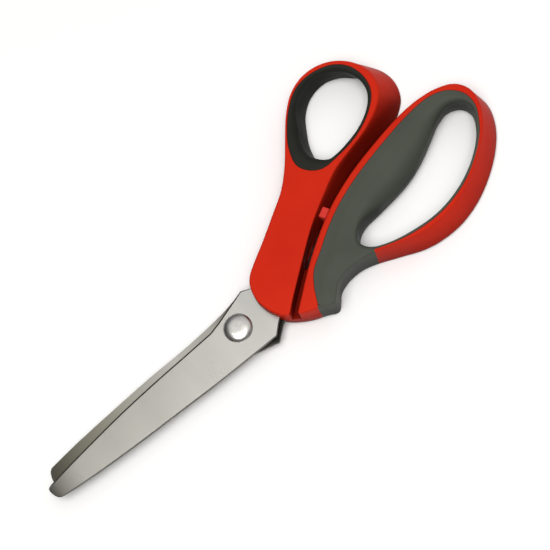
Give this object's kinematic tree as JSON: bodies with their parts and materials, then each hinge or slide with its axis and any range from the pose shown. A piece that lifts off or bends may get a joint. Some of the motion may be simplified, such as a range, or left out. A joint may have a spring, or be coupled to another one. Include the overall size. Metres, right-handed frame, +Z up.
{
  "type": "pinking shears",
  "caption": "Dressmaking shears with zigzag cutting edges, hinged on a domed bolt, with bent plastic handles and soft rubber grips.",
  "frame": {"origin": "middle of the footprint, on the plane that the handles' back faces rest on", "axes": "+X towards the blade tips, +Y towards the finger handle, +Z up out of the front faces, along the pivot bolt towards its domed head"},
  "size_m": [0.2382, 0.0902, 0.016],
  "materials": {
    "blade_steel": "satin",
    "hardware_steel": "polished satin",
    "handle_plastic": "satin moulded",
    "grip_rubber": "matt moulded",
    "bumper_rubber": "matt moulded"
  },
  "bodies": {
    "rear_half": {"rear_blade": "blade_steel", "finger_handle_core": "handle_plastic", "finger_soft_grip": "grip_rubber", "pivot_bolt": "hardware_steel", "blade_spacer_washer": "hardware_steel", "flat_washer": "hardware_steel", "wave_washer": "hardware_steel", "pivot_nut": "hardware_steel"},
    "front_half": {"front_blade": "blade_steel", "thumb_handle_core": "handle_plastic", "thumb_soft_liner": "grip_rubber", "handle_stop_bumper": "bumper_rubber"}
  },
  "joints": [
    {"name": "blade_pivot", "type": "hinge", "parent": "rear_half", "child": "front_half", "pos_m": [0.01989, 0.01871, 0.008], "axis": [0, 0, 1], "range_deg": [0, 38]}
  ]
}
